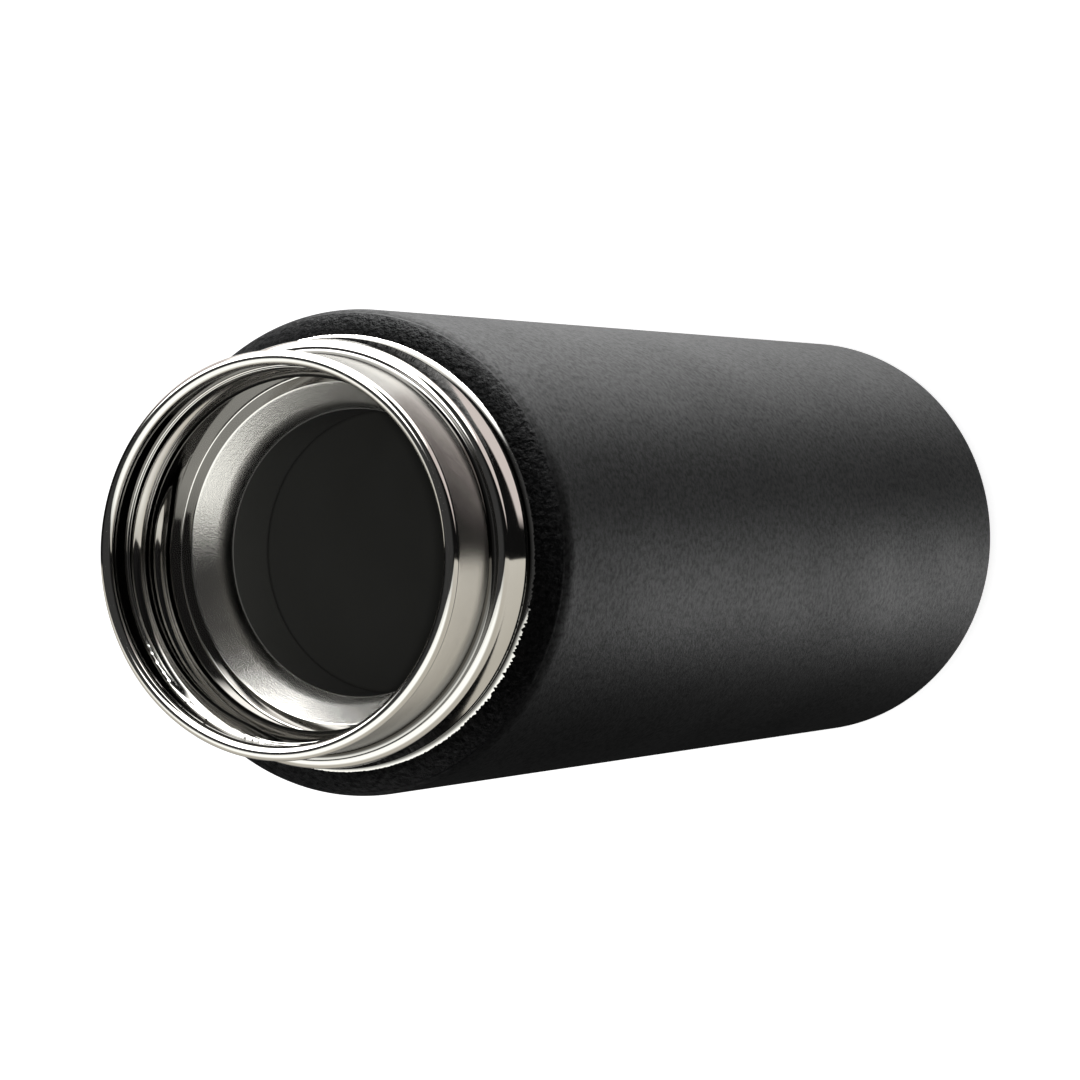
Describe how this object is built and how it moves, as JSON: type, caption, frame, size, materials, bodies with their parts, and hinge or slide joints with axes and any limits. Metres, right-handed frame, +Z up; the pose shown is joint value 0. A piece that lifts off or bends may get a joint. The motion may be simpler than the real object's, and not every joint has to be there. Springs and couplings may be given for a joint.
{
  "type": "vacuum growler",
  "caption": "Lidless double-wall vacuum growler bottle: black coated body, bare steel mouth with internal thread, conical gasket seat and lined interior.",
  "frame": {"origin": "centre of the foot pad's face that the bottle stands on", "axes": "+Z up along the bottle's axis, out of the mouth; the thread's upper end is towards -Y"},
  "size_m": [0.073, 0.073, 0.205],
  "materials": {
    "steel_polished": "polished bare stainless steel, finely brushed on the neck wall",
    "steel_plain": "plain drawn stainless sheet, hidden inside the wall",
    "weld": "ground and polished laser weld",
    "powder_coat": "matte black powder coat with a fine grain",
    "lining": "dark satin ceramic lining",
    "copper": "bright rolled copper foil",
    "foil_tape": "amber high-temperature tape",
    "getter": "pressed dark metal powder",
    "solder_glass": "fused solder glass",
    "adhesive": "translucent adhesive film",
    "foot_rubber": "matte black rubber"
  },
  "bodies": {
    "root": {"outer_shell": "steel_polished", "powder_coat": "powder_coat", "mouth_weld": "weld", "inner_liner": "steel_polished", "liner_lining": "lining", "liner_base": "steel_plain", "liner_weld": "weld", "copper_foil": "copper", "foil_tape": "foil_tape", "outer_base": "steel_plain", "base_weld": "weld", "getter": "getter", "getter_clip": "steel_plain", "port_seal": "solder_glass", "port_cover": "steel_plain", "cover_tacks": "weld", "pad_adhesive": "adhesive", "foot_pad": "foot_rubber"}
  },
  "joints": []
}
